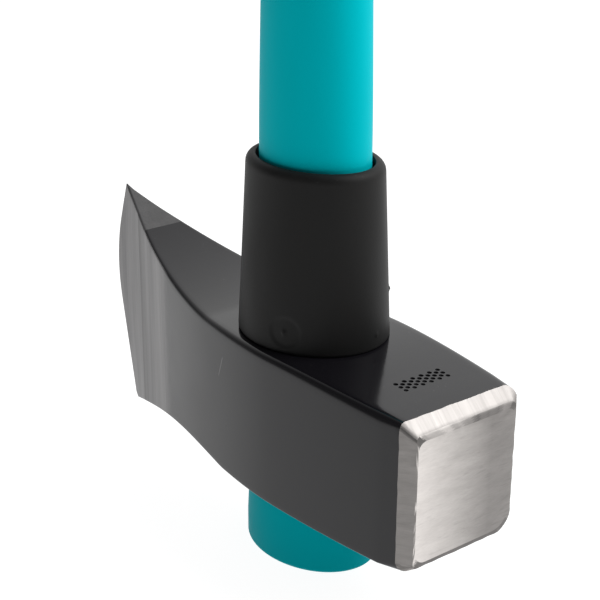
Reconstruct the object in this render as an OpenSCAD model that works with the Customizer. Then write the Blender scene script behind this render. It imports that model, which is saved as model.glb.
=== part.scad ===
// Splitting maul, standing on the end of its handle stub with the head low and the grip high.
// The origin is the centre of the stub's end face. +Z runs up the handle, -X points to the
// cutting edge, +X to the poll, and the maul is mirror symmetric about the plane y = 0.

/* [Overall] */
// Length of the whole maul, from the stub's end face to the end of the grip
overall_length = 900; // [700:5:1000]
// Length of the stub below the middle of the head
stub_drop = 55; // [48:0.5:80]

/* [Head] */
// Distance from the handle's axis to the foremost point of the cutting edge
bit_reach = 124.8; // [100:0.2:150]
// Distance from the handle's axis to the poll face
poll_reach = 74; // [60:0.5:95]
// Height of the top corner of the bit above the middle of the head
toe_rise = 49.6; // [40:0.2:60]
// Depth of the bottom corner of the bit below the middle of the head
heel_drop = 42.4; // [34:0.2:52]
// Distance that the top corner of the bit lies behind the foremost point of the edge
toe_setback = 8.2; // [4:0.2:12]
// Distance that the bottom corner of the bit lies behind the foremost point of the edge
heel_setback = 9.8; // [4:0.2:14]
// Height of the foremost point of the edge above the middle of the head
edge_nose_height = 13; // [0:0.5:20]
// Distance that the ground bevel runs back from the foremost point of the edge
bevel_length = 24; // [16:0.5:34]
// Thickness of the head where the ground bevel starts
bevel_thickness = 11; // [8:0.5:14]
// Thickness left at the cutting edge after grinding
edge_land = 0.5; // [0.3:0.1:1.5]
// Height of the head at the eye
eye_height = 53.4; // [44:0.2:60]
// Full width of the head at the eye
eye_width = 56; // [50:0.5:66]
// Height of the poll's upper side above the middle of the head, before its chamfer
poll_rise = 24.4; // [20:0.2:30]
// Depth of the poll's lower side below the middle of the head, before its chamfer
poll_drop = 26; // [20:0.2:30]
// Width of the poll, measured before its chamfers
poll_width = 47; // [38:0.2:60]
// Width of the ground chamfer round the poll face
poll_chamfer = 3.5; // [2:0.5:8]

/* [Handle] */
// Long axis of the handle's oval section just above the head
handle_depth = 42.4; // [36:0.2:46]
// Long axis of the oval section in the middle of the handle
shank_depth = 35; // [28:0.5:40]
// Long axis of the oval section at the end of the stub
stub_depth = 53.4; // [48:0.2:60]
// Width of every oval section of the handle, as a share of its long axis
oval_ratio = 0.77; // [0.7:0.01:0.9]
// Growth of the oval's half depth from the top of the eye to its bottom
tang_taper = 3.4; // [2:0.1:4]
// Height above the head at which the handle reaches its middle section
taper_length = 300; // [150:5:360]
// Diameter of the glass-fibre core rod
core_d = 19; // [14:0.5:20]
// Rounding of the stub's end
stub_edge = 1.25; // [0.5:0.25:4]
// Thickness of the resin layer between the eye and the handle
bond_gap = 0.6; // [0.3:0.1:1.2]

/* [Overstrike sleeve] */
// Height of the rubber sleeve above the head
sleeve_height = 61; // [40:1:100]
// Thickness of the sleeve's wall at its mouth
sleeve_wall = 3.4; // [2.5:0.1:5]
// Gap between the handle and the mouth of the sleeve
sleeve_gap = 1.5; // [0.5:0.1:3]
// Extra reach of the sleeve's foot along the head
foot_flare_x = 1.7; // [0:0.1:4]
// Extra reach of the sleeve's foot across the head
foot_flare_y = 4; // [0:0.1:6]

/* [Grip] */
// Step that the handle's oval is cut back under the grip
seat_step = 0.5; // [0:0.1:1]
// Length of the rubber grip
grip_length = 290; // [220:5:340]
// Thickness of the rubber round the handle
grip_wall = 2.8; // [2:0.1:4]
// Long axis of the flared end of the grip
butt_depth = 52; // [44:0.5:60]
// Diameter of the hanging hole through the flared end
hang_hole_d = 9; // [6:0.5:12]
// Distance from the end of the grip to the centre of the hanging hole
hang_hole_inset = 19; // [15:0.5:24]

/* [Hidden] */
$fn = 96;
oval_sides = 48;

// Places along the handle
head_z = stub_drop;
eye_top_z = head_z + eye_height / 2;
eye_bottom_z = head_z - eye_height / 2;
sleeve_top_z = eye_top_z + sleeve_height;
shank_z = eye_top_z + taper_length;
grip_z = overall_length - grip_length;
hang_z = overall_length - hang_hole_inset;

// Half sizes of the head
toe_x = toe_setback - bit_reach;
heel_x = heel_setback - bit_reach;
eye_half = eye_height / 2;
eye_side = eye_width / 2;
poll_side = poll_width / 2;
poll_start = poll_reach - poll_chamfer;
foot_margin = 3;
eye_land = handle_depth / 2 + sleeve_gap + sleeve_wall + foot_flare_x + foot_margin;
bevel_x = -bit_reach + bevel_length;
edge_radius = 70;
nose_round = 2.4;
widest_x = 8;
spare = 10;

// Handles of the head's curves, each measured from the end that it leaves
brow_from_eye = [-29, 1.6];
brow_from_toe = [28, -13.2];
belly_from_heel = [9.8, 2.8];
belly_from_eye = [-37.6, 5.6];
cheek_from_bevel = [36.2, 13.4];
cheek_from_side = [-26.4, 0];
waist_from_side = [14, 0];
waist_from_poll = [-16.4, 2.8];

// Half depths of the handle's oval, from the stub up
neck_draw = 0.8;
stub_wall = 8;
stub_half = stub_depth / 2;
neck_half = stub_half - neck_draw;
tang_low_half = handle_depth / 2 + tang_taper;
tang_high_half = handle_depth / 2;
shank_half = shank_depth / 2;
seat_half = shank_half - seat_step;
grip_half = seat_half + grip_wall;
butt_half = butt_depth / 2;

// Sizes of the grip's end and of the hanging hole through it
bush_wall = 2.5;
pad_rim = 4.5;
pad_sink = 2;
butt_round = 9;
butt_skin = 4;
jacket_chamfer = 3;
core_cover = 12;
hang_r = hang_hole_d / 2;
bush_r = hang_r + bush_wall;
pad_r = hang_r + pad_rim;
pad_y = butt_half * oval_ratio - pad_sink;
core_top_z = hang_z - bush_r - core_cover;
jacket_top_z = overall_length - butt_skin;

// A point of the cubic curve through a and d that leaves towards b and arrives from c
function bezier(a, b, c, d, t) =
    a * pow(1 - t, 3) + 3 * b * t * pow(1 - t, 2) + 3 * c * t * t * (1 - t) + d * pow(t, 3);
function curve(a, b, c, d, steps = 12) = [for (i = [0:steps]) bezier(a, b, c, d, i / steps)];

// Points of the corner at b, between a and c, rounded by an arc of radius r
function unit(v) = v / norm(v);
function half_angle(a, b, c) = acos(unit(a - b) * unit(c - b)) / 2;
function arc_centre(a, b, c, r) = b + unit(unit(a - b) + unit(c - b)) * r / sin(half_angle(a, b, c));
function angle_of(v) = atan2(v.y, v.x);
function short_turn(t) = t > 180 ? t - 360 : t < -180 ? t + 360 : t;
function rounded_corner(a, b, c, r, steps = 6) =
    let (centre = arc_centre(a, b, c, r), back = r / tan(half_angle(a, b, c)),
         from = angle_of(b + unit(a - b) * back - centre),
         to = angle_of(b + unit(c - b) * back - centre), turn = short_turn(to - from))
    [for (i = [0:steps]) centre + r * [cos(from + turn * i / steps), sin(from + turn * i / steps)]];

// The outline on one side of the x axis, closed by its mirror image
function mirrored(points) =
    concat(points, [for (i = [len(points) - 1:-1:0]) [points[i].x, -points[i].y]]);

// The cutting edge seen from the side: two straight grinds blended by an arc at the nose
toe = [toe_x, toe_rise];
heel = [heel_x, -heel_drop];
nose = [-bit_reach - nose_round, edge_nose_height + 2 * nose_round];
edge_points = concat([toe], rounded_corner(toe, nose, heel, edge_radius, 10), [heel]);

// The head seen from the side, x along the head and y up from its middle
module side_outline() {
    eye_top = [-eye_land, eye_half];
    eye_bottom = [-eye_land, -eye_half];
    brow = curve(eye_top, eye_top + brow_from_eye, toe + brow_from_toe, toe);
    belly = curve(heel, heel + belly_from_heel, eye_bottom + belly_from_eye, eye_bottom);
    polygon(concat(
        [[poll_reach, poll_rise - poll_chamfer], [poll_start, poll_rise], [eye_land, eye_half]],
        brow, edge_points, belly,
        [[eye_land, -eye_half], [poll_start, -poll_drop], [poll_reach, -poll_drop + poll_chamfer]]));
}

// The head seen from above, from the ground bevel back to the poll
module plan_outline() {
    bevel_end = [bevel_x, bevel_thickness / 2];
    widest = [widest_x, eye_side];
    poll_end = [poll_start, poll_side];
    cheek = curve(bevel_end, bevel_end + cheek_from_bevel, widest + cheek_from_side, widest);
    waist = curve(widest, widest + waist_from_side, poll_end + waist_from_poll, poll_end);
    polygon(mirrored(concat(cheek, waist, [[poll_reach, poll_side - poll_chamfer]])));
}

// The ground bevel: ruled faces from the curved edge back to a straight line across the cheeks
module bevel_wedge() {
    hull() {
        rotate([90, 0, 0]) linear_extrude(edge_land, center = true)
            polygon(concat(edge_points, [[bevel_x, -heel_drop], [bevel_x, toe_rise]]));
        translate([bevel_x, -bevel_thickness / 2, -toe_rise - spare])
            cube([1, bevel_thickness, 2 * (toe_rise + spare)]);
    }
}

// A closed solid through oval rings, each given as [half depth, half width, height]
module oval_loft(rings) {
    n = oval_sides;
    top = n * (len(rings) - 1);
    walls = [for (j = [0:len(rings) - 2], i = [0:n - 1])
        let (a = j * n + i, b = j * n + (i + 1) % n) each [[a, a + n, b + n], [a, b + n, b]]];
    polyhedron(
        points = [for (ring = rings, i = [0:n - 1])
            [ring.x * cos(360 * i / n), ring.y * sin(360 * i / n), ring.z]],
        faces = concat(walls, [[for (i = [0:n - 1]) i]], [[for (i = [n - 1:-1:0]) top + i]]));
}

// An oval loft whose outline is given as [half depth, height], all of it in one proportion
module oval_body(outline) {
    oval_loft([for (p = outline) [p.x, p.x * oval_ratio, p.y]]);
}

// Half depth of the handle where it lies in the eye, at height z
function tang_half(z) =
    tang_low_half + (tang_high_half - tang_low_half) * (z - eye_bottom_z) / eye_height;

// The room in the eye, grown by a gap and run past both ends by reach
module eye_room(gap, reach) {
    low_z = eye_bottom_z - reach;
    high_z = eye_top_z + reach;
    oval_loft([for (z = [low_z, high_z]) [tang_half(z) + gap, tang_half(z) * oval_ratio + gap, z]]);
}

// Forged steel head: a wedge that widens from the bit to the eye, and a square poll
module head() {
    color("#2b2c2f") difference() {
        translate([0, 0, head_z]) intersection() {
            rotate([90, 0, 0]) linear_extrude(2 * eye_width, center = true) side_outline();
            union() {
                linear_extrude(4 * eye_height, center = true) plan_outline();
                bevel_wedge();
            }
        }
        eye_room(bond_gap, 1);
    }
}

// Cast resin that fills the eye round the handle and locks the head
module eye_bond() {
    color("#b9a56a") difference() {
        eye_room(bond_gap, 0);
        eye_room(0, 1);
    }
}

// Outline of the handle from the stub's end face up
stub_outline = [[stub_half - stub_edge, 0], [stub_half - 0.3 * stub_edge, 0.3 * stub_edge],
                [stub_half, stub_edge], [stub_half, stub_edge + stub_wall], [neck_half, eye_bottom_z - 4]];
tang_outline = [[tang_low_half, eye_bottom_z], [tang_high_half, eye_top_z]];
taper_outline = curve([tang_high_half, sleeve_top_z], [tang_high_half, sleeve_top_z + 0.3 * taper_length],
                      [shank_half, shank_z - 0.4 * taper_length], [shank_half, shank_z]);
seat_outline = [[shank_half, grip_z - 1], [seat_half, grip_z], [seat_half, jacket_top_z - jacket_chamfer],
                [seat_half - jacket_chamfer, jacket_top_z]];

// Moulded plastic handle body, wide at the stub so that the head can't slide off
module handle_jacket() {
    color("#01a2a8") difference() {
        oval_body(concat(stub_outline, tang_outline, taper_outline, seat_outline));
        translate([0, 0, -1]) cylinder(h = core_top_z + 1, d = core_d);
        translate([0, 0, hang_z]) rotate([90, 0, 0])
            cylinder(h = 2 * butt_depth, r = bush_r, center = true);
    }
}

// Glass-fibre rod that carries the bending load
module core_rod() {
    color("#d8cfa0") cylinder(h = core_top_z, d = core_d);
}

// Rubber collar that takes the blows of a missed stroke, with a rounded lip at its mouth
module overstrike_sleeve() {
    mouth_a = tang_high_half + sleeve_gap;
    mouth_b = tang_high_half * oval_ratio + sleeve_gap / 2;
    top_a = mouth_a + sleeve_wall;
    top_b = mouth_b + sleeve_wall;
    lip = sleeve_wall / 2;
    outside = [[top_a + foot_flare_x, top_b + foot_flare_y, eye_top_z],
               [top_a, top_b, sleeve_top_z - lip],
               [top_a - 0.3 * lip, top_b - 0.3 * lip, sleeve_top_z - 0.3 * lip],
               [top_a - lip, top_b - lip, sleeve_top_z]];
    color("#232323") difference() {
        oval_loft(outside);
        oval_loft([for (z = [eye_top_z - 1, sleeve_top_z + 1]) [mouth_a, mouth_b, z]]);
    }
}

// Outline of the grip from its lower end up: collar, palm swell, flare and rounded end
grip_collar = [[grip_half - 0.5, grip_z], [grip_half + 1, grip_z + 1.5],
               [grip_half + 1, grip_z + 6], [grip_half, grip_z + 8]];
grip_swell = curve([grip_half, grip_z + 0.45 * grip_length], [grip_half + 1.6, hang_z - 110],
                   [grip_half + 1.6, hang_z - 70], [grip_half, hang_z - 42], 8);
grip_flare = curve([grip_half, hang_z - 34], [grip_half + 0.5, hang_z - 20],
                   [butt_half, hang_z - 16], [butt_half, hang_z - 4], 8);
grip_end = rounded_corner([butt_half, hang_z], [butt_half, overall_length], [0, overall_length],
                          butt_round);

// Rubber hand grip with a flared end. Its rubber lines the hanging hole through the handle
module grip() {
    color("#242424") difference() {
        union() {
            difference() {
                oval_body(concat(grip_collar, grip_swell, grip_flare, grip_end));
                oval_body([[seat_half, grip_z - 1], [seat_half, jacket_top_z - jacket_chamfer],
                           [seat_half - jacket_chamfer, jacket_top_z]]);
            }
            translate([0, 0, hang_z]) rotate([90, 0, 0])
                cylinder(h = 2 * (pad_y - 1), r = bush_r, center = true);
        }
        translate([0, 0, hang_z]) rotate([90, 0, 0])
            cylinder(h = 2 * butt_depth, r = hang_r, center = true);
        for (side = [-1, 1])
            translate([0, side * (pad_y + spare / 2), hang_z]) rotate([90, 0, 0])
                cylinder(h = spare, r = pad_r, center = true);
    }
}

head();
eye_bond();
handle_jacket();
core_rod();
overstrike_sleeve();
grip();
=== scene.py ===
import math

import bpy
from mathutils import Matrix, Vector
from mathutils.noise import noise


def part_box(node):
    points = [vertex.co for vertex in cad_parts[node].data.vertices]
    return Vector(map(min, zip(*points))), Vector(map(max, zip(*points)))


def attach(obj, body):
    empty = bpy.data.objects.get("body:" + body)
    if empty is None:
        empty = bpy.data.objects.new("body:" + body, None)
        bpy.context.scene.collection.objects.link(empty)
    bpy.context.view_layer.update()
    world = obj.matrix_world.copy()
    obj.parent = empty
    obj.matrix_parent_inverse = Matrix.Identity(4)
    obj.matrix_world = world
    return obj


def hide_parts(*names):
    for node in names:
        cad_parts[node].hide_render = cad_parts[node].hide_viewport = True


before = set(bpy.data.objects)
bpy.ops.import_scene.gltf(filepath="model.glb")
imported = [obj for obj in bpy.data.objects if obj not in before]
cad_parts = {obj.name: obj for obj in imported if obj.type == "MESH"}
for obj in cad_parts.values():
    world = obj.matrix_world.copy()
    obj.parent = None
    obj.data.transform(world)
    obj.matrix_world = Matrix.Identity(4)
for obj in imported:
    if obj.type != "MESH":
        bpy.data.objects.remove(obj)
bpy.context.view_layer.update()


# ---------------------------------------------------------------------------------------------
# Studio. A pale matt floor, lit from below, runs out to a surround that is white beyond the maul
# and dark behind the camera and to its left. A large soft light hangs high beyond the poll. A
# long lens looks down on the poll's near corner.

floor_half = 24.0
floor_mesh = bpy.data.meshes.new("studio_floor")
floor_mesh.from_pydata(
    [(-floor_half, -floor_half, 0), (floor_half, -floor_half, 0),
     (floor_half, floor_half, 0), (-floor_half, floor_half, 0)], [], [(0, 1, 2, 3)])
studio_floor = bpy.data.objects.new("studio_floor", floor_mesh)
bpy.context.collection.objects.link(studio_floor)


def add(tree, kind, inputs=None, **settings):
    """A shader node with its settings, whose inputs are given as numbers or as other nodes' outputs."""
    made = tree.nodes.new("ShaderNode" + kind)
    for name, value in settings.items():
        setattr(made, name, value)
    for name, value in (inputs or {}).items():
        if isinstance(value, bpy.types.NodeSocket):
            tree.links.new(value, made.inputs[name])
        else:
            made.inputs[name].default_value = value
    return made


def tone(tree, amount, dark, light, start=0.0, end=1.0):
    """A colour that runs from dark to light as amount goes from start to end."""
    ramp = add(tree, "ValToRGB", {"Fac": amount})
    ramp.color_ramp.elements[0].position = start
    ramp.color_ramp.elements[0].color = (*dark, 1)
    ramp.color_ramp.elements[1].position = end
    ramp.color_ramp.elements[1].color = (*light, 1)
    return ramp.outputs["Color"]


def new_finish(name, **fixed):
    """A material and its Principled shader, with the inputs that are the same all over the surface."""
    finish = bpy.data.materials.new(name)
    finish.use_nodes = True
    shader = finish.node_tree.nodes["Principled BSDF"]
    for socket, value in fixed.items():
        shader.inputs[socket.replace("_", " ")].default_value = value
    return finish, finish.node_tree, shader


floor_finish, tree, shader = new_finish(
    "floor_card", Roughness=0.9, Specular_IOR_Level=0.2, Emission_Strength=0.94)
shader.inputs["Emission Color"].default_value = (1, 1, 1, 1)
card = add(tree, "TexNoise", {"Scale": 3.0, "Detail": 3.0})
tree.links.new(tone(tree, card.outputs["Fac"], (0.24, 0.24, 0.24), (0.26, 0.26, 0.26)),
               shader.inputs["Base Color"])
floor_mesh.materials.append(floor_finish)

surround = bpy.data.worlds.new("white_surround")
surround.use_nodes = True
tree = surround.node_tree
backdrop = tree.nodes["Background"]
backdrop.inputs["Color"].default_value = (1, 1, 1, 1)
towards_back = add(tree, "VectorMath", {
    0: add(tree, "TexCoord").outputs["Generated"], 1: (-0.50, 0.87, 0.0)}, operation="DOT_PRODUCT")
falloff = add(tree, "MapRange", {"Value": towards_back.outputs["Value"], "From Min": -0.05,
                                 "From Max": 0.80, "To Min": 0.13, "To Max": 1.13})
tree.links.new(falloff.outputs["Result"], backdrop.inputs["Strength"])
bpy.context.scene.world = surround
bpy.context.scene.view_settings.view_transform = "Standard"


def soft_light(name, place, aim, size, power):
    """A square area light at place that points at aim."""
    lamp = bpy.data.lights.new(name, "AREA")
    lamp.shape = "RECTANGLE"
    lamp.size, lamp.size_y = size
    lamp.energy = power
    holder = bpy.data.objects.new(name, lamp)
    holder.location = place
    holder.rotation_euler = (Vector(aim) - Vector(place)).to_track_quat("-Z", "Y").to_euler()
    bpy.context.collection.objects.link(holder)


soft_light("key_light", (0.80, 0.80, 1.35), (0, 0, 0.12), (1.1, 1.1), 27)

lens_turn = math.radians(51.37)
lens_tilt = math.radians(90 - 21.74)
lens_roll = math.radians(0.27)
lens = bpy.data.cameras.new("camera")
lens.lens = 87.6
lens.sensor_width = 36
lens.clip_start = 0.01
lens.clip_end = 60
camera = bpy.data.objects.new("camera", lens)
camera.matrix_world = (
    Matrix.Translation((0.3550, -0.2897, 0.2747)) @ Matrix.Rotation(lens_turn, 4, "Z")
    @ Matrix.Rotation(lens_tilt, 4, "X") @ Matrix.Rotation(lens_roll, 4, "Z"))
bpy.context.collection.objects.link(camera)
bpy.context.scene.camera = camera


# ---------------------------------------------------------------------------------------------
# Head. One drop forging of carbon steel, painted glossy black all over. The bit's cheeks and
# upper tip and the poll with its chamfers are then ground bare, and size marks are punched into
# the top beside the poll. The eye is punched through it, a little wider at the bottom.

head_low, head_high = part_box("head")
eye_low, eye_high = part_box("eye_bond")
mid_z = (eye_low.z + eye_high.z) / 2
eye_half = (eye_high.z - eye_low.z) / 2
bit_x = head_low.x
poll_x = head_high.x
toe_z = head_high.z - mid_z
heel_z = head_low.z - mid_z
cheek_y = head_high.y

# Along the head: how far the edge's ends lie back, the flats round the eye, and the widest place
toe_back = 0.0082
heel_back = 0.0098
land_x = 0.0308
belly_x = 0.020
widest_x = 0.008
# The flat above the eye rises a little towards the poll, and the sleeve sits on its high end
seat_rise = 0.0005
# The bit's end: where its steep bevel starts, and half the thickness there and at the edge
bevel_x = bit_x + 0.024
bevel_half = 0.0055
edge_half = 0.00022
# How far the long edges are rounded: the upper ones more towards the poll
upper_round_bit, upper_round_poll = 0.0010, 0.0030
lower_round = 0.0007


def bezier(a, b, c, d, t):
    """A point of the cubic curve from a to d with handles b and c."""
    return a * (1 - t) ** 3 + 3 * b * t * (1 - t) ** 2 + 3 * c * t * t * (1 - t) + d * t ** 3


def outline(*curves, steps=48):
    """Points along cubic curves joined end to end, each curve given as its four points."""
    return [bezier(*[Vector(p) for p in curve], i / steps)
            for curve in curves for i in range(steps + 1)]


def height_at(points, x):
    """The second coordinate of a left-to-right outline where its first is x."""
    for p, q in zip(points, points[1:]):
        if p.x <= x <= q.x and q.x > p.x:
            return p.y + (q.y - p.y) * (x - p.x) / (q.x - p.x)
    return points[0].y if x < points[0].x else points[-1].y


def straight(p, q):
    """A straight run as a cubic curve, for use in an outline."""
    p, q = Vector(p), Vector(q)
    return p, p.lerp(q, 1 / 3), p.lerp(q, 2 / 3), q


# Sides of the poll where its chamfers start: towards the near cheek, the far one, down and up
poll_start = 0.0705
poll_near, poll_far, poll_down, poll_up = 0.0230, 0.0243, 0.0264, 0.0247
toe = (bit_x + toe_back, toe_z)
heel = (bit_x + heel_back, heel_z)
top_line = outline(
    (toe, (toe[0] + 0.028, toe_z - 0.0132), (-land_x - 0.029, eye_half + 0.0016),
     (-land_x, eye_half + 0.0002)),
    straight((-land_x, eye_half + 0.0002), (widest_x, eye_half + seat_rise)),
    ((widest_x, eye_half + seat_rise), (widest_x + 0.020, eye_half + seat_rise + 0.0004),
     (poll_start - 0.025, poll_up + 0.0012), (poll_start, poll_up)))
bottom_line = outline(
    (heel, (heel[0] + 0.0394, heel_z + 0.0151), (-belly_x - 0.0364, -eye_half + 0.0037),
     (-belly_x, -eye_half)),
    straight((-belly_x, -eye_half), (land_x, -eye_half)),
    straight((land_x, -eye_half), (poll_start, -poll_down)))


def cheek_line(poll_side):
    """Half width of the head from the bevel back to a poll side of this half width."""
    return outline(
        ((bevel_x, bevel_half), (bevel_x + 0.0362, bevel_half + 0.0134), (widest_x - 0.0264, cheek_y),
         (widest_x, cheek_y)),
        ((widest_x, cheek_y), (widest_x + 0.014, cheek_y), (poll_start - 0.0164, poll_side + 0.0028),
         (poll_start, poll_side)))


near_line, far_line = cheek_line(poll_near), cheek_line(poll_far)

# The edge from heel to toe: two straight grinds with an arc of this radius where they meet
nose_radius = 0.070
nose = Vector((bit_x - 0.00226, 0.0178))
to_toe = (Vector(toe) - nose).normalized()
to_heel = (Vector(heel) - nose).normalized()
half_nose = to_toe.angle(to_heel) / 2
nose_centre = nose + (to_toe + to_heel).normalized() * nose_radius / math.sin(half_nose)
nose_run = nose_radius / math.tan(half_nose)
arc_low = (nose + to_heel * nose_run).y
arc_high = (nose + to_toe * nose_run).y


def edge_at(z):
    """How far forward the cutting edge lies at height z above the middle of the head."""
    if z < arc_low:
        return nose.x + to_heel.x * (z - nose.y) / to_heel.y
    if z > arc_high:
        return nose.x + to_toe.x * (z - nose.y) / to_toe.y
    return nose_centre.x - math.sqrt(nose_radius ** 2 - (z - nose_centre.y) ** 2)


corner_turn = 6
across_steps, upright_steps = 26, 30


def section_points(near, far, low, high, radii):
    """A rounded upright rectangle as (y, height) pairs, round from above the far cheek."""
    spots = [(far, high, -1, -1, 0), (-near, high, 1, -1, 90), (-near, low, 1, 1, 180),
             (far, low, -1, 1, 270)]
    arcs = []
    for (y, z, in_y, in_z, start), radius in zip(spots, radii):
        centre_y, centre_z = y + in_y * radius, z + in_z * radius
        arcs.append([(centre_y + radius * math.cos(math.radians(start + 90 * k / corner_turn)),
                      centre_z + radius * math.sin(math.radians(start + 90 * k / corner_turn)))
                     for k in range(corner_turn + 1)])
    points = []
    for arc, after, run in zip(arcs, arcs[1:] + arcs[:1], [across_steps, upright_steps] * 2):
        points += arc
        points += [tuple(a + (b - a) * k / run for a, b in zip(arc[-1], after[0]))
                   for k in range(1, run)]
    return points


def round_the_ring(top, near, bottom, far):
    """One value for each point of a section: a value for each side, blended over the corners."""
    ring = []
    before = far
    for here, run in ((top, across_steps), (near, upright_steps),
                      (bottom, across_steps), (far, upright_steps)):
        ring += [before + (here - before) * k / corner_turn for k in range(corner_turn + 1)]
        ring += [here] * (run - 1)
        before = here
    return ring


def skin(name, rings, loop=False):
    """A mesh through rings of equal length. Its ends are capped by fans, or it closes on itself."""
    count = len(rings[0])
    points = [p for ring in rings for p in ring]
    spans = len(rings) if loop else len(rings) - 1
    faces = [(i * count + j, i * count + (j + 1) % count,
              (i + 1) % len(rings) * count + (j + 1) % count, (i + 1) % len(rings) * count + j)
             for i in range(spans) for j in range(count)]
    ends = [] if loop else [0, (len(rings) - 1) * count]
    for first in ends:
        ring = points[first:first + count]
        points.append(tuple(sum(c) / count for c in zip(*ring)))
        faces += [(first + (j + 1) % count, first + j, len(points) - 1) if first == 0
                  else (first + j, first + (j + 1) % count, len(points) - 1)
                  for j in range(count)]
    mesh = bpy.data.meshes.new(name)
    mesh.from_pydata(points, [], faces)
    mesh.validate()
    made = bpy.data.objects.new(name, mesh)
    bpy.context.collection.objects.link(made)
    return made


def oval_ring(half_x, half_y, z, count=144):
    """One oval of a loft, counter-clockwise seen from above."""
    return [(half_x * math.cos(2 * math.pi * k / count), half_y * math.sin(2 * math.pi * k / count), z)
            for k in range(count)]


def smooth(piece, angle):
    """Shade smooth, with faces that meet at more than angle degrees kept crisp."""
    piece.data.shade_smooth()
    piece.data.set_sharp_from_angle(angle=math.radians(angle))


def carve(piece, tool, how="DIFFERENCE"):
    """Take the tool's solid out of a piece, or join it on, and drop the tool."""
    step = piece.modifiers.new("carve", "BOOLEAN")
    step.operation = how
    step.solver = "EXACT"
    step.object = tool
    bpy.context.view_layer.update()
    result = bpy.data.meshes.new_from_object(piece.evaluated_get(bpy.context.evaluated_depsgraph_get()))
    piece.modifiers.remove(step)
    piece.data = result
    bpy.data.objects.remove(tool)


def body_radii(share):
    """Corner radii of the head's section at a share of the way from the bevel to the poll."""
    upper = upper_round_bit + (upper_round_poll - upper_round_bit) * share
    return upper, upper, lower_round, lower_round


# The bevel: each section leans from the curved cutting edge to the upright end of the bevel
rings = []
bevel_steps = 14
for i in range(bevel_steps + 1):
    share = i / bevel_steps
    top_x = toe[0] + (bevel_x - toe[0]) * share
    low_x = heel[0] + (bevel_x - heel[0]) * share
    high, low = height_at(top_line, top_x), height_at(bottom_line, low_x)
    half_y = edge_half + (bevel_half - edge_half) * share
    radii = [min(r, half_y * 0.8) for r in body_radii(0)]
    ring = []
    for y, z in section_points(half_y, half_y, low, high, radii):
        front = edge_at(heel_z + (toe_z - heel_z) * (z - low) / (high - low))
        ring.append((front + (bevel_x - front) * share, y, mid_z + z))
    rings.append(ring)
# The body runs on to where the poll's borders begin
body_steps = 70
body_end = 0.062
for i in range(1, body_steps + 1):
    x = bevel_x + (body_end - bevel_x) * i / body_steps
    ring = section_points(height_at(near_line, x), height_at(far_line, x),
                          height_at(bottom_line, x), height_at(top_line, x), body_radii(i / body_steps))
    rings.append([(x, y, mid_z + z) for y, z in ring])

# The poll: where the paint ends, where the chamfers end, and the border of the striking face.
# Each is given by its four sides, its corner radii, and how far forward each side lies.
paint_end = (section_points(poll_near, poll_far, -poll_down, poll_up, (0.0032, 0.0024, 0.0030, 0.0075)),
             round_the_ring(0.0690, 0.0690, 0.0712, 0.0718))
chamfer_end = (section_points(0.0198, 0.0226, -0.0252, 0.0207, (0.0018, 0.0018, 0.0018, 0.0066)),
               round_the_ring(0.0729, 0.0735, 0.0734, 0.0736))
face_x = poll_x - 0.0002
face_edge = (section_points(0.0193, 0.0214, -0.0236, 0.0188, (0.0020, 0.0032, 0.0044, 0.0066)),
             round_the_ring(face_x, face_x, face_x, face_x))


def forward_ring(border):
    """The three-dimensional ring of a poll border."""
    return [(x, y, mid_z + z) for (y, z), x in zip(*border)]


def between(ring, other, share):
    """A ring part of the way from one ring to another."""
    return [tuple(a + (b - a) * share for a, b in zip(p, q)) for p, q in zip(ring, other)]


def hand_ground(ring, sway):
    """A ring whose line wavers forwards and back, as a border ground by hand does."""
    return [(x + sway * noise(Vector((y, z, 0)) * 260), y, z) for x, y, z in ring]


poll_rings = [rings[-1], hand_ground(forward_ring(paint_end), 0.0003),
              hand_ground(forward_ring(chamfer_end), 0.00025), forward_ring(face_edge)]
poll_steps = (4, 5, 3)
# The first row of faces beyond the end of the paint
first_bare = len(rings) + poll_steps[0] - 1
for start, end, steps in zip(poll_rings, poll_rings[1:], poll_steps):
    rings += [between(start, end, k / steps) for k in range(1, steps + 1)]
# The striking face is slightly crowned about its middle
face_steps = 8
last = rings[-1]
crown_height = 0.0002
crown_z = mid_z - 0.0020
for i in range(1, face_steps):
    share = i / face_steps
    crown = crown_height * (1 - (1 - share) ** 2)
    rings.append([(x + crown, y * (1 - share), crown_z + (z - crown_z) * (1 - share))
                  for x, y, z in last])
steel_head = skin("forged_head", rings)
ring_size = len(rings[0])
for face in steel_head.data.polygons:
    face.material_index = 1 if face.index >= first_bare * ring_size and face.center.x > 0.06 else 0


def punch_tips(spots, radius, top_z, depth, corners=12):
    """One cutter for a group of punched dots at (x, y) spots, each with sloping walls."""
    points, faces = [], []
    levels = ((top_z - depth, 0.55), (top_z - depth * 0.4, 0.9), (top_z + depth * 2, 1.3))
    for x, y in spots:
        first = len(points)
        for z, grow in levels:
            points += [(x + radius * grow * math.cos(2 * math.pi * k / corners),
                        y + radius * grow * math.sin(2 * math.pi * k / corners), z)
                       for k in range(corners)]
        faces += [(first + i * corners + k, first + i * corners + (k + 1) % corners,
                   first + (i + 1) * corners + (k + 1) % corners, first + (i + 1) * corners + k)
                  for i in range(len(levels) - 1) for k in range(corners)]
        faces.append([first + k for k in reversed(range(corners))])
        faces.append([first + (len(levels) - 1) * corners + k for k in range(corners)])
    mesh = bpy.data.meshes.new("punch_tips")
    mesh.from_pydata(points, [], faces)
    tips = bpy.data.objects.new("punch_tips", mesh)
    bpy.context.collection.objects.link(tips)
    return tips


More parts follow.
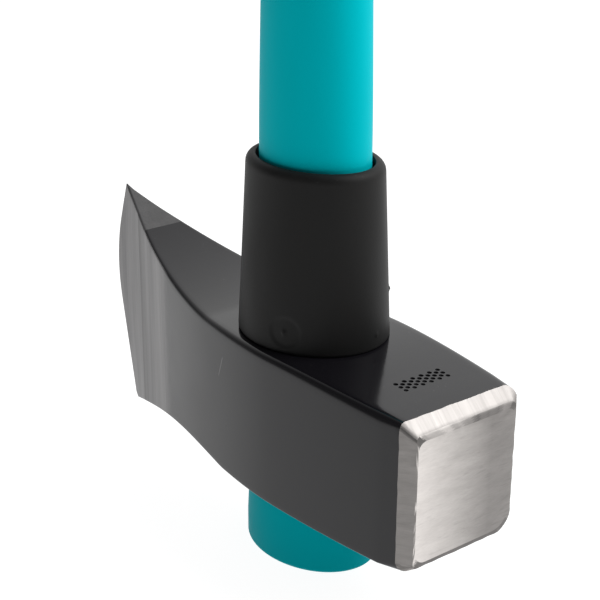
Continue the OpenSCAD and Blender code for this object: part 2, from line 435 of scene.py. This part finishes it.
# Punched dots in staggered rows, which stand for the size marks
mark_x, mark_y = 0.0519, -0.0070
mark_pitch, mark_row = 0.0018, 0.0024
mark_columns = 11
dot_radius, dot_depth = 0.00085, 0.0008
mark_spots = []
for k in range(mark_columns):
    rows = (-1, 0, 1) if k % 2 == 0 else (-0.5, 0.5)
    mark_spots += [(mark_x + row * mark_row, mark_y + k * mark_pitch) for row in rows]
mark_z = mid_z + height_at(top_line, mark_x)
carve(steel_head, punch_tips(mark_spots, dot_radius, mark_z, dot_depth))

# The heel's sharp tip is knocked off by a slanting nick
heel_x = bit_x + heel_back
nick_front, nick_under = heel_x - 0.0042, head_low.z - 0.0040
nick_side = [(nick_front, head_low.z + 0.0048), (heel_x + 0.0096, nick_under), (nick_front, nick_under)]
carve(steel_head, skin("heel_nick", [[(x, y, z) for x, z in nick_side] for y in (-0.01, 0.01)]))

# The eye is cut a little wider than the resin at the bottom, and runs through both of its ends
eye_hole = [oval_ring(eye_high.x + 0.0001, eye_high.y + 0.0001, eye_low.z - 0.001, count=96),
            oval_ring(eye_high.x - 0.0035, eye_high.y - 0.0028, eye_high.z + 0.002, count=96)]
carve(steel_head, skin("eye_cutter", eye_hole))
smooth(steel_head, 24)


def new_group(name, inputs, outputs):
    """An empty node group. Each socket is given as its name, its kind and, for inputs, its value."""
    group = bpy.data.node_groups.new(name, "ShaderNodeTree")
    for label, kind, value in inputs:
        socket = group.interface.new_socket(label, in_out="INPUT", socket_type="NodeSocket" + kind)
        socket.default_value = value
    for label, kind in outputs:
        group.interface.new_socket(label, in_out="OUTPUT", socket_type="NodeSocket" + kind)
    return group, group.nodes.new("NodeGroupInput").outputs, group.nodes.new("NodeGroupOutput").inputs


def blend(tree, amount, low, high):
    """A colour between low and high. Each is a colour or another node's output."""
    mix = add(tree, "Mix", {0: amount}, data_type="RGBA")
    for socket, value in ((mix.inputs[6], low), (mix.inputs[7], high)):
        if isinstance(value, bpy.types.NodeSocket):
            tree.links.new(value, socket)
        else:
            socket.default_value = (*value, 1)
    return mix.outputs[2]


def value_between(tree, amount, low, high):
    """A number between low and high. Each is a number or another node's output."""
    return add(tree, "Mix", {0: amount, 2: low, 3: high}).outputs[0]


def ramp_of(tree, value, start, end):
    """0 where a value is at start, 1 where it is at end, and even in between."""
    return add(tree, "MapRange", {"Value": value, "From Min": start, "From Max": end}).outputs[0]


def calc(tree, operation, a, b):
    """The result of one sum on two numbers or outputs."""
    return add(tree, "Math", {0: a, 1: b}, operation=operation).outputs[0]


def raised(tree, height, strength, depth, onto=None):
    """A normal bent by a height."""
    inputs = {"Height": height, "Strength": strength, "Distance": depth}
    if onto is not None:
        inputs["Normal"] = onto
    return add(tree, "Bump", inputs).outputs["Normal"]


# Grinding lines: fine parallel streaks, a few deeper ones, and slow changes in tone across them
grinding_lines, given, made = new_group(
    "grinding_lines",
    [("Place", "Vector", (0, 0, 0)), ("Lines", "Vector", (60, 60, 1400)),
     ("Bands", "Vector", (4, 4, 90))],
    [("Tone", "Float"), ("Height", "Float")])
tree = grinding_lines
line_place = add(tree, "VectorMath", {0: given["Place"], 1: given["Lines"]}, operation="MULTIPLY")
line_noise = add(tree, "TexNoise", {"Vector": line_place.outputs[0], "Scale": 1.0, "Detail": 4.0,
                                    "Roughness": 0.7})
band_place = add(tree, "VectorMath", {0: given["Place"], 1: given["Bands"]}, operation="MULTIPLY")
band_noise = add(tree, "TexNoise", {"Vector": band_place.outputs[0], "Scale": 1.0, "Detail": 2.0})
deep_place = add(tree, "VectorMath", {0: line_place.outputs[0], 1: (0.45, 0.45, 0.45)},
                 operation="MULTIPLY")
deep_noise = add(tree, "TexNoise", {"Vector": deep_place.outputs[0], "Scale": 1.0, "Detail": 1.0})
deep = ramp_of(tree, deep_noise.outputs["Fac"], 0.62, 0.74)
mixed = ramp_of(tree, calc(tree, "ADD", line_noise.outputs["Fac"], band_noise.outputs["Fac"]), 0.6, 1.4)
darkened = add(tree, "Math", {0: mixed, 1: calc(tree, "MULTIPLY", deep, 0.35)}, operation="SUBTRACT",
               use_clamp=True)
tree.links.new(darkened.outputs[0], made["Tone"])
tree.links.new(calc(tree, "SUBTRACT", line_noise.outputs["Fac"], deep), made["Height"])

# Worn edges: a mask along outer edges, where handling rubs a finish first
worn_edges, given, made = new_group(
    "worn_edges", [("Place", "Vector", (0, 0, 0)), ("Reach", "Float", 0.0008)], [("Mask", "Float")])
tree = worn_edges
rounded = add(tree, "Bevel", {"Radius": given["Reach"]}, samples=4)
turned = add(tree, "VectorMath", {0: rounded.outputs["Normal"],
                                  1: add(tree, "NewGeometry").outputs["Normal"]},
             operation="DOT_PRODUCT")
broken = add(tree, "TexNoise", {"Vector": given["Place"], "Scale": 420.0, "Detail": 4.0})
edge_line = ramp_of(tree, turned.outputs["Value"], 0.985, 0.90)
patchy = ramp_of(tree, broken.outputs["Fac"], 0.42, 0.60)
tree.links.new(calc(tree, "MULTIPLY", edge_line, patchy), made["Mask"])

# Settled dust: sparse pale specks on whatever faces up
settled_dust, given, made = new_group(
    "settled_dust", [("Place", "Vector", (0, 0, 0)), ("Amount", "Float", 0.3)], [("Mask", "Float")])
tree = settled_dust
specks = add(tree, "TexVoronoi", {"Vector": given["Place"], "Scale": 520.0, "Randomness": 1.0})
near_speck = ramp_of(tree, specks.outputs["Distance"], 0.16, 0.05)
drift = add(tree, "TexNoise", {"Vector": given["Place"], "Scale": 70.0, "Detail": 3.0})
drifted = ramp_of(tree, drift.outputs["Fac"], 0.48, 0.66)
upward = add(tree, "SeparateXYZ", {"Vector": add(tree, "NewGeometry").outputs["Normal"]})
resting = ramp_of(tree, upward.outputs["Z"], 0.1, 0.9)
facing_up = calc(tree, "MULTIPLY", calc(tree, "MULTIPLY", near_speck, drifted), resting)
tree.links.new(calc(tree, "MULTIPLY", facing_up, given["Amount"]), made["Mask"])

head_finish, tree, shader = new_finish("painted_forging", IOR=1.40)
place = add(tree, "TexCoord").outputs["Object"]
spot = add(tree, "SeparateXYZ", {"Vector": place}).outputs
facing = add(tree, "SeparateXYZ", {"Vector": add(tree, "NewGeometry").outputs["Normal"]}).outputs
level = ramp_of(tree, calc(tree, "ABSOLUTE", facing["Z"], 0), 0.55, 0.75)

# Where the bit is ground bare: a soft border on the cheeks and a crisp one on the top
border_noise = add(tree, "TexNoise", {"Vector": place, "Scale": 160.0, "Detail": 3.0}).outputs["Fac"]
wander = calc(tree, "MULTIPLY", calc(tree, "SUBTRACT", border_noise, 0.5), 0.0020)
wandered_x = calc(tree, "ADD", spot["X"], wander)
cheek_bare = ramp_of(tree, wandered_x, -0.0635, -0.0690)
top_bare = ramp_of(tree, calc(tree, "ADD", spot["X"], calc(tree, "MULTIPLY", wander, 0.25)),
                   -0.0908, -0.0912)
bare = value_between(tree, level, cheek_bare, top_bare)

# Bare steel with upright grinding lines, darker just behind the bevel's end, and with painted shade
# where it faces up
grind = add(tree, "Group", {"Place": place, "Lines": (1500, 1500, 26), "Bands": (130, 130, 5)},
            node_tree=grinding_lines).outputs
ground_steel = tone(tree, grind["Tone"], (0.190, 0.187, 0.190), (0.265, 0.260, 0.260))
behind_bevel = calc(tree, "MULTIPLY", ramp_of(tree, spot["X"], -0.1009, -0.1006),
                    ramp_of(tree, spot["X"], -0.090, -0.099))
# Painted shade: bare steel that faces up is drawn halfway towards black, besides the darker band behind
# the bevel
band_and_painted_shade = calc(tree, "MAXIMUM", calc(tree, "MULTIPLY", behind_bevel, 0.40),
              calc(tree, "MULTIPLY", ramp_of(tree, facing["Z"], 0.5, 0.8), 0.5))
steel = blend(tree, band_and_painted_shade, ground_steel, (0.02, 0.02, 0.02))

# Gloss paint with a faint orange peel, rubbed thin along its edges
peel = add(tree, "TexNoise", {"Vector": place, "Scale": 330.0, "Detail": 2.0}).outputs["Fac"]
cloud = add(tree, "TexNoise", {"Vector": place, "Scale": 26.0, "Detail": 3.0}).outputs["Fac"]
paint = tone(tree, cloud, (0.0052, 0.0048, 0.0062), (0.0072, 0.0067, 0.0086), 0.3, 0.7)
wear = add(tree, "Group", {"Place": place, "Reach": 0.0007}, node_tree=worn_edges).outputs["Mask"]
dust = add(tree, "Group", {"Place": place, "Amount": 0.10}, node_tree=settled_dust).outputs["Mask"]
rubbed = blend(tree, calc(tree, "MULTIPLY", wear, 0.25), paint, (0.10, 0.098, 0.10))
dusted = blend(tree, dust, rubbed, (0.45, 0.44, 0.42))

# One light scratch slants down the near cheek beside the eye
aslant = calc(tree, "SUBTRACT", calc(tree, "MULTIPLY", calc(tree, "ADD", spot["X"], 0.0186), 0.935),
              calc(tree, "MULTIPLY", calc(tree, "SUBTRACT", spot["Z"], 0.0680), 0.355))
scratch_line = ramp_of(tree, calc(tree, "ABSOLUTE", aslant, 0), 0.00030, 0.00010)
scratch_ends = ramp_of(tree, calc(tree, "ABSOLUTE", calc(tree, "SUBTRACT", spot["Z"], 0.0680), 0),
                       0.0044, 0.0032)
scratch_side = ramp_of(tree, spot["Y"], -0.020, -0.021)
scratch = calc(tree, "MULTIPLY", calc(tree, "MULTIPLY", scratch_line, scratch_ends), scratch_side)
scratched = blend(tree, calc(tree, "MULTIPLY", scratch, 0.6), dusted, (0.16, 0.155, 0.155))
tree.links.new(blend(tree, bare, scratched, steel), shader.inputs["Base Color"])
tree.links.new(bare, shader.inputs["Metallic"])
paint_gloss = value_between(tree, level, ramp_of(tree, cloud, -1.4, 4.8), 0.13)
tree.links.new(value_between(tree, bare, paint_gloss, ramp_of(tree, grind["Tone"], 5.5, -3.5)),
               shader.inputs["Roughness"])
lined = raised(tree, grind["Height"], 0.25, 0.00005)
peeled = raised(tree, peel, 0.10, 0.0001)
tree.links.new(add(tree, "Mix", {0: bare, 4: peeled, 5: lined}, data_type="VECTOR").outputs[1],
               shader.inputs["Normal"])
steel_head.data.materials.append(head_finish)

# The poll's bare steel: fine belt lines across the face, strokes across the level chamfers. Its tone
# is painted by facing: a painted reflection brightest on the face towards the near cheek, and painted
# shade on a sliver above it and on the side chamfers.
poll_finish, tree, shader = new_finish("ground_poll", Metallic=1.0)
place = add(tree, "TexCoord").outputs["Object"]
spot = add(tree, "SeparateXYZ", {"Vector": place}).outputs
facet = add(tree, "SeparateXYZ", {"Vector": add(tree, "NewGeometry").outputs["True Normal"]}).outputs
level = ramp_of(tree, facet["Z"], 0.45, 0.60)
belt = add(tree, "Group", {"Place": place, "Lines": (260, 420, 2800), "Bands": (60, 90, 420)},
           node_tree=grinding_lines).outputs
stroke = add(tree, "Group", {"Place": place, "Lines": (60, 2400, 60), "Bands": (8, 380, 8)},
             node_tree=grinding_lines).outputs
lines = value_between(tree, level, belt["Tone"], stroke["Tone"])
# Painted reflection and shade: the face's tone runs from bright at the near cheek to dim at the far one,
# and each facet gets a set tone by which way it points
face_painted_reflection = value_between(tree, ramp_of(tree, spot["Y"], -0.019, 0.012), 0.77, 0.29)
side_painted_shade = value_between(tree, ramp_of(tree, calc(tree, "ABSOLUTE", facet["Y"], 0), 0.30, 0.50),
                           face_painted_reflection, 0.26)
steepness = calc(tree, "ABSOLUTE", facet["Z"], 0)
sliver = calc(tree, "MULTIPLY", ramp_of(tree, steepness, 0.06, 0.12),
              ramp_of(tree, steepness, 0.45, 0.35))
sliver_painted_shade = value_between(tree, sliver, side_painted_shade, 0.18)
shade = value_between(tree, level, sliver_painted_shade, 0.36)
lined_painted_light = calc(tree, "MULTIPLY", shade, ramp_of(tree, lines, -6.0, 1.0))
tree.links.new(tone(tree, lined_painted_light, (0, 0, 0), (1.0, 0.950, 0.915)), shader.inputs["Base Color"])
tree.links.new(ramp_of(tree, lines, 5.0, -3.5), shader.inputs["Roughness"])
heights = value_between(tree, level, belt["Height"], stroke["Height"])
tree.links.new(raised(tree, heights, 0.2, 0.00002), shader.inputs["Normal"])
steel_head.data.materials.append(poll_finish)
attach(steel_head, "root")
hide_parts("head")


# ---------------------------------------------------------------------------------------------
# Resin. Poured into the eye round the handle's tang, it fills the gap between steel and
# plastic. There it sets hard, and its taper locks the head on for good.

resin_finish, tree, shader = new_finish("cast_resin", Roughness=0.35)
place = add(tree, "TexCoord").outputs["Object"]
bubbles = add(tree, "TexNoise", {"Vector": place, "Scale": 400.0, "Detail": 3.0}).outputs["Fac"]
tree.links.new(tone(tree, bubbles, (0.22, 0.15, 0.05), (0.40, 0.30, 0.12)), shader.inputs["Base Color"])
tree.links.new(raised(tree, bubbles, 0.4, 0.0002), shader.inputs["Normal"])
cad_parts["eye_bond"].data.materials.clear()
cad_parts["eye_bond"].data.materials.append(resin_finish)


# ---------------------------------------------------------------------------------------------
# Handle. Teal plastic moulded over the fibreglass core in one piece: a wide stub under the
# head, a tapered tang in the eye, and a long oval shank that the rubber grip is moulded over.

_, jacket_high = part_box("handle_jacket")
_, core_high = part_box("core_rod")
grip_low, grip_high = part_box("grip")
sleeve_low, sleeve_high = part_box("overstrike_sleeve")
stub_depth = jacket_high.x
oval = jacket_high.y / jacket_high.x
# Half widths along the head: the tang at the eye's two ends, the shank, and the grip's seat on it
tang_high = 0.0212
tang_low = 0.0246
shank = 0.0175
seat = shank - 0.0005
seat_chamfer = 0.003
stub_edge = 0.00125
# The hole through the end, lined by the grip's rubber
hang_z = grip_high.z - 0.019
bush = 0.007


def turned_rod(name, outline, middle_z, count=64):
    """A solid turned about an axis along y at height middle_z, from (radius, y) pairs."""
    return skin(name, [[(r * math.cos(2 * math.pi * k / count), y,
                         middle_z - r * math.sin(2 * math.pi * k / count)) for k in range(count)]
                       for r, y in outline])


edge_angles = [math.radians(15 * k) for k in range(7)]
edge_turn = [(stub_depth - stub_edge * (1 - math.sin(angle)), stub_edge * (1 - math.cos(angle)))
             for angle in edge_angles]
taper_top = eye_high.z + 0.300
taper = [bezier(Vector((tang_high, sleeve_high.z)), Vector((tang_high, sleeve_high.z + 0.04)),
                Vector((shank, taper_top - 0.12)), Vector((shank, taper_top)), k / 24)
         for k in range(25)]
shank_steps = 6
plain_shank = [(shank, taper_top + (grip_low.z - 0.0012 - taper_top) * k / shank_steps)
               for k in range(1, shank_steps + 1)]
seat_steps = 12
under_grip = [(seat, grip_low.z + (jacket_high.z - seat_chamfer - grip_low.z) * k / seat_steps)
              for k in range(seat_steps + 1)]
handle_line = (
    edge_turn + [(stub_depth, 0.006), (stub_depth, 0.00925), (stub_depth - 0.0008, eye_low.z - 0.004),
                 (tang_low, eye_low.z), (tang_high, eye_high.z)]
    + [tuple(p) for p in taper] + plain_shank + under_grip
    + [(seat - seat_chamfer, jacket_high.z)])
handle = skin("moulded_handle", [oval_ring(r, r * oval, z) for r, z in handle_line])
core_bore = [oval_ring(core_high.x, core_high.x, z, count=96) for z in (-0.001, core_high.z)]
carve(handle, skin("core_bore", core_bore))
carve(handle, turned_rod("hanging_hole", [(bush, -0.03), (bush, 0.03)], hang_z))
smooth(handle, 40)

# Moulded skin: the fine stipple of a blasted mould, over slow waves where the plastic shrank
moulded_skin, given, made = new_group(
    "moulded_skin",
    [("Place", "Vector", (0, 0, 0)), ("Stipple", "Float", 2200.0), ("Waves", "Float", 45.0)],
    [("Tone", "Float"), ("Height", "Float")])
tree = moulded_skin
stipple = add(tree, "TexNoise", {"Vector": given["Place"], "Scale": given["Stipple"], "Detail": 2.0})
drawn = add(tree, "VectorMath", {0: given["Place"], 1: (1.0, 1.0, 0.3)}, operation="MULTIPLY")
waves = add(tree, "TexNoise", {"Vector": drawn.outputs[0], "Scale": given["Waves"], "Detail": 2.0})
for share_of_waves, result in ((0.75, "Tone"), (0.5, "Height")):
    tree.links.new(value_between(tree, share_of_waves, stipple.outputs["Fac"], waves.outputs["Fac"]),
                   made[result])

handle_finish, tree, shader = new_finish("teal_plastic", IOR=1.5, Specular_IOR_Level=0.02)
shader.inputs["Specular Tint"].default_value = (0.05, 0.90, 1.0, 1)
place = add(tree, "TexCoord").outputs["Object"]
moulded = add(tree, "Group", {"Place": place, "Stipple": 1900.0, "Waves": 40.0},
              node_tree=moulded_skin).outputs
dust = add(tree, "Group", {"Place": place, "Amount": 0.10}, node_tree=settled_dust).outputs["Mask"]
teal = tone(tree, moulded["Tone"], (0.0, 0.415, 0.470), (0.0, 0.450, 0.515), 0.35, 0.65)
stub_height = add(tree, "SeparateXYZ", {"Vector": place}).outputs["Z"]
# Painted shade: the teal is drawn darker towards the stub's lower end
stub_painted_shade = blend(tree, ramp_of(tree, stub_height, 0.040, 0.0), teal, (0.0, 0.29, 0.33))
tree.links.new(blend(tree, dust, stub_painted_shade, (0.3, 0.6, 0.62)), shader.inputs["Base Color"])
tree.links.new(ramp_of(tree, moulded["Tone"], -0.8, 2.0), shader.inputs["Roughness"])
tree.links.new(raised(tree, moulded["Height"], 0.12, 0.0002), shader.inputs["Normal"])
handle.data.materials.append(handle_finish)
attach(handle, "root")
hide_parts("handle_jacket")


# ---------------------------------------------------------------------------------------------
# Core. A round rod of glass fibre drawn through resin, laid in the mould before the handle's
# plastic is shot round it. Its cut end shows in the middle of the stub's end face.

core_finish, tree, shader = new_finish("glass_fibre", Roughness=0.5)
place = add(tree, "TexCoord").outputs["Object"]
strands = add(tree, "VectorMath", {0: place, 1: (1.0, 1.0, 0.02)}, operation="MULTIPLY")
fibres = add(tree, "TexNoise", {"Vector": strands.outputs[0], "Scale": 1800.0, "Detail": 3.0})
tree.links.new(tone(tree, fibres.outputs["Fac"], (0.42, 0.40, 0.28), (0.70, 0.67, 0.50), 0.35, 0.65),
               shader.inputs["Base Color"])
tree.links.new(raised(tree, fibres.outputs["Fac"], 0.3, 0.0001), shader.inputs["Normal"])
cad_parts["core_rod"].data.materials.clear()
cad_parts["core_rod"].data.materials.append(core_finish)


# ---------------------------------------------------------------------------------------------
# Overstrike sleeve. A moulded rubber collar that is pushed down the handle until it sits on the
# head. It takes the blow when a stroke lands long. Its mouth ends in a thick rounded lip, and
# a round recess low on one side holds the stub of the gate that it was moulded through.

# Half widths along and across the head: the foot, the wall's top and the bore
sleeve_top = sleeve_high.z
foot_a, foot_b = sleeve_high.x, sleeve_high.y
top_a, top_b = 0.0262, 0.0206
bore_a, bore_b = 0.0227, 0.01707
lip_x, lip_z = 0.0028, 0.0032
foot_round = 0.0007
# The wall is drawn in by this much, so that its waves stay inside the outline
wave_room = 0.00015
sleeve_count = 320
foot_z = sleeve_low.z + seat_rise

# Moulding marks on the wall: where round the oval and how high each sits, its radius and relief
gate_recess = (math.radians(-65), 0.0895, 0.0050, -0.00045)
pips = [(math.radians(-66), 0.0892, 0.0006, 0.0007), (math.radians(11), 0.0872, 0.0005, 0.0004),
        (math.radians(44), 0.0985, 0.0005, 0.0005)]


def wall_relief(angle, z):
    """How far the sleeve's wall stands out at a place, from its moulding marks and its waves."""
    out = 0.00006 * noise(Vector((math.cos(angle) * 2.2, math.sin(angle) * 2.2, z * 60)))
    turn, height, radius, depth = gate_recess
    far = math.hypot(math.remainder(angle - turn, 2 * math.pi) * 0.024, z - height)
    rim = min(1.0, max(0.0, (radius + 0.0007 - far) / 0.0014))
    out += depth * rim * rim * (3 - 2 * rim)
    for turn, height, radius, depth in pips:
        far = math.hypot(math.remainder(angle - turn, 2 * math.pi) * 0.024, (z - height) * 0.7)
        out += depth * math.exp(-(far / radius) ** 2)
    return out


def sleeve_ring(a, b, z, relief=True):
    """One ring of the sleeve's outside, with the marks and waves of its wall."""
    ring = []
    for k in range(sleeve_count):
        angle = 2 * math.pi * k / sleeve_count
        out = wall_relief(angle, z) if relief else 0
        ring.append(((a + out) * math.cos(angle), (b + out) * math.sin(angle), z))
    return ring


sleeve_rings = [sleeve_ring(bore_a, bore_b, foot_z, False),
                sleeve_ring(foot_a - foot_round, foot_b - foot_round, foot_z, False)]
for k in range(1, 5):
    turn = math.radians(90 * k / 4)
    draw = wave_room + foot_round * (1 - math.sin(turn))
    sleeve_rings.append(sleeve_ring(foot_a - draw, foot_b - draw,
                                    foot_z + foot_round * (1 - math.cos(turn)), False))
wall_steps = 110
wall_low, wall_high = foot_z + foot_round, sleeve_top - lip_z
for k in range(1, wall_steps + 1):
    share = k / wall_steps
    sleeve_rings.append(sleeve_ring(foot_a - wave_room + (top_a - foot_a + wave_room) * share,
                                    foot_b - wave_room + (top_b - foot_b + wave_room) * share,
                                    wall_low + (wall_high - wall_low) * share))
for k in range(1, 9):
    turn = math.radians(90 * k / 8)
    draw = lip_x * (1 - math.cos(turn))
    sleeve_rings.append(sleeve_ring(top_a - draw, top_b - draw,
                                    sleeve_top - lip_z * (1 - math.sin(turn)), False))
sleeve_rings += [sleeve_ring(bore_a + 0.0002, bore_b + 0.0002, sleeve_top - 0.0002, False),
                 sleeve_ring(bore_a, bore_b, sleeve_top - 0.0008, False),
                 sleeve_ring(bore_a, bore_b, sleeve_low.z + 0.02, False)]
sleeve = skin("overstrike_sleeve", sleeve_rings, loop=True)
smooth(sleeve, 50)

sleeve_finish, tree, shader = new_finish("sleeve_rubber", IOR=1.45, Specular_IOR_Level=0.22)
place = add(tree, "TexCoord").outputs["Object"]
moulded = add(tree, "Group", {"Place": place, "Stipple": 1500.0, "Waves": 60.0},
              node_tree=moulded_skin).outputs
wear = add(tree, "Group", {"Place": place, "Reach": 0.0009}, node_tree=worn_edges).outputs["Mask"]
dust = add(tree, "Group", {"Place": place, "Amount": 0.18}, node_tree=settled_dust).outputs["Mask"]
rubber = tone(tree, moulded["Tone"], (0.0062, 0.0062, 0.0062), (0.0105, 0.0102, 0.0100), 0.35, 0.65)
# The sleeve's rubbed edges are drawn stronger than elsewhere, so the pale line along its rims is partly
# wear and partly a painted highlight
scuffed = blend(tree, calc(tree, "MULTIPLY", wear, 0.45), rubber, (0.07, 0.068, 0.066))
tree.links.new(blend(tree, dust, scuffed, (0.20, 0.19, 0.18)), shader.inputs["Base Color"])
tree.links.new(ramp_of(tree, moulded["Tone"], -1.0, 1.6), shader.inputs["Roughness"])
tree.links.new(raised(tree, moulded["Height"], 0.25, 0.0002), shader.inputs["Normal"])
sleeve.data.materials.append(sleeve_finish)
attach(sleeve, "root")
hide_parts("overstrike_sleeve")


# ---------------------------------------------------------------------------------------------
# Grip. Black rubber moulded over the top of the handle, with a collar at its lower end, wavy
# ribs where the hands hold it, a swell for the palm, and a flared end with a hanging hole.

wall = 0.0028
grip_half = seat + wall
butt_half = grip_high.x
butt_round = 0.009
grip_length = grip_high.z - grip_low.z
flare_low, flare_high = hang_z - 0.034, hang_z - 0.004
rib_pitch = 0.0065
rib_wave = 0.0018
rib_low, rib_high = grip_low.z + 0.022, hang_z - 0.048
# One groove between two ribs: offsets along the handle, and the share of the full depth there
groove = [(-0.0013, 0), (-0.0009, 0.12), (-0.0006, 0.55), (-0.0002, 0.95), (0.0002, 0.95),
          (0.0006, 0.55), (0.0009, 0.12), (0.0013, 0)]
groove_depth = 0.0009
grip_line = outline(
    straight((grip_low.z, grip_half - 0.0005), (grip_low.z + 0.0015, grip_half + 0.001)),
    straight((grip_low.z + 0.0015, grip_half + 0.001), (grip_low.z + 0.006, grip_half + 0.001)),
    straight((grip_low.z + 0.006, grip_half + 0.001), (grip_low.z + 0.008, grip_half)),
    straight((grip_low.z + 0.008, grip_half), (grip_low.z + 0.45 * grip_length, grip_half)),
    ((grip_low.z + 0.45 * grip_length, grip_half), (hang_z - 0.110, grip_half + 0.0016),
     (hang_z - 0.070, grip_half + 0.0016), (hang_z - 0.042, grip_half)),
    straight((hang_z - 0.042, grip_half), (flare_low, grip_half)),
    ((flare_low, grip_half), (hang_z - 0.020, grip_half + 0.0005), (hang_z - 0.016, butt_half),
     (flare_high, butt_half)), steps=24)

stations = [(grip_low.z + z, 0) for z in (0.0, 0.0004, 0.0009, 0.0015, 0.003, 0.0045, 0.006, 0.0065,
                                          0.0072, 0.008, 0.011, 0.015)]
rib_count = int((rib_high - rib_low) / rib_pitch)
for i in range(rib_count):
    stations += [(rib_low + i * rib_pitch + z, depth) for z, depth in groove]
last_groove = stations[-1][0]
stations += [(last_groove + 0.004, 0), (flare_low - 0.004, 0)]
flare_steps = 22
stations += [(flare_low + (flare_high - flare_low) * k / flare_steps, 0) for k in range(flare_steps + 1)]
grip_rings = []
for z, depth in stations:
    half = height_at(grip_line, z) - depth * groove_depth
    calm = min(1.0, max(0.0, min(z - rib_low + 0.012, last_groove + 0.012 - z) / 0.012))
    ring = [(x, y, z + rib_wave * calm * math.cos(2 * math.atan2(y, x)))
            for x, y, z in oval_ring(half, half * oval, z)]
    grip_rings.append(ring)
grip_rings += [oval_ring(butt_half, butt_half * oval, hang_z + 0.005)]
for k in range(13):
    turn = math.radians(90 * k / 12)
    half = butt_half - butt_round * (1 - math.cos(turn))
    grip_rings.append(oval_ring(half, half * oval, grip_high.z - butt_round * (1 - math.sin(turn))))
grip_rings += [oval_ring(half * s, half * oval * s, grip_high.z) for s in (0.75, 0.5, 0.25)]
grip = skin("rubber_grip", grip_rings)
carve(grip, skin("grip_bore", [oval_ring(r, r * oval, z) for r, z in (
    (seat, grip_low.z - 0.001), (seat, jacket_high.z - seat_chamfer),
    (seat - seat_chamfer, jacket_high.z))]))
pad_y = butt_half * oval - 0.002
carve(grip, turned_rod("bush", [(bush, -pad_y + 0.001), (bush, pad_y - 0.001)], hang_z), "UNION")
hole, recess = 0.0045, 0.009
hole_line = [
    (recess + 0.0012, -0.03), (recess + 0.0012, -pad_y - 0.0016), (recess + 0.0004, -pad_y - 0.0008),
    (recess, -pad_y - 0.0003), (recess - 0.0004, -pad_y),
    (hole + 0.0009, -pad_y), (hole + 0.0003, -pad_y + 0.0003), (hole, -pad_y + 0.0009)]
hole_line += [(r, -y) for r, y in reversed(hole_line)]
carve(grip, turned_rod("hole_cutter", hole_line, hang_z))
smooth(grip, 42)

grip_finish, tree, shader = new_finish("grip_rubber", IOR=1.45, Specular_IOR_Level=0.3)
place = add(tree, "TexCoord").outputs["Object"]
moulded = add(tree, "Group", {"Place": place, "Stipple": 1300.0, "Waves": 70.0},
              node_tree=moulded_skin).outputs
wear = add(tree, "Group", {"Place": place, "Reach": 0.0009}, node_tree=worn_edges).outputs["Mask"]
dust = add(tree, "Group", {"Place": place, "Amount": 0.22}, node_tree=settled_dust).outputs["Mask"]
rubber = tone(tree, moulded["Tone"], (0.0085, 0.0085, 0.0085), (0.0150, 0.0147, 0.0143), 0.35, 0.65)
scuffed = blend(tree, calc(tree, "MULTIPLY", wear, 0.25), rubber, (0.07, 0.068, 0.065))
tree.links.new(blend(tree, dust, scuffed, (0.20, 0.19, 0.18)), shader.inputs["Base Color"])
tree.links.new(ramp_of(tree, moulded["Tone"], -1.0, 1.4), shader.inputs["Roughness"])
tree.links.new(raised(tree, moulded["Height"], 0.5, 0.0003), shader.inputs["Normal"])
grip.data.materials.append(grip_finish)
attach(grip, "root")
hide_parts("grip")
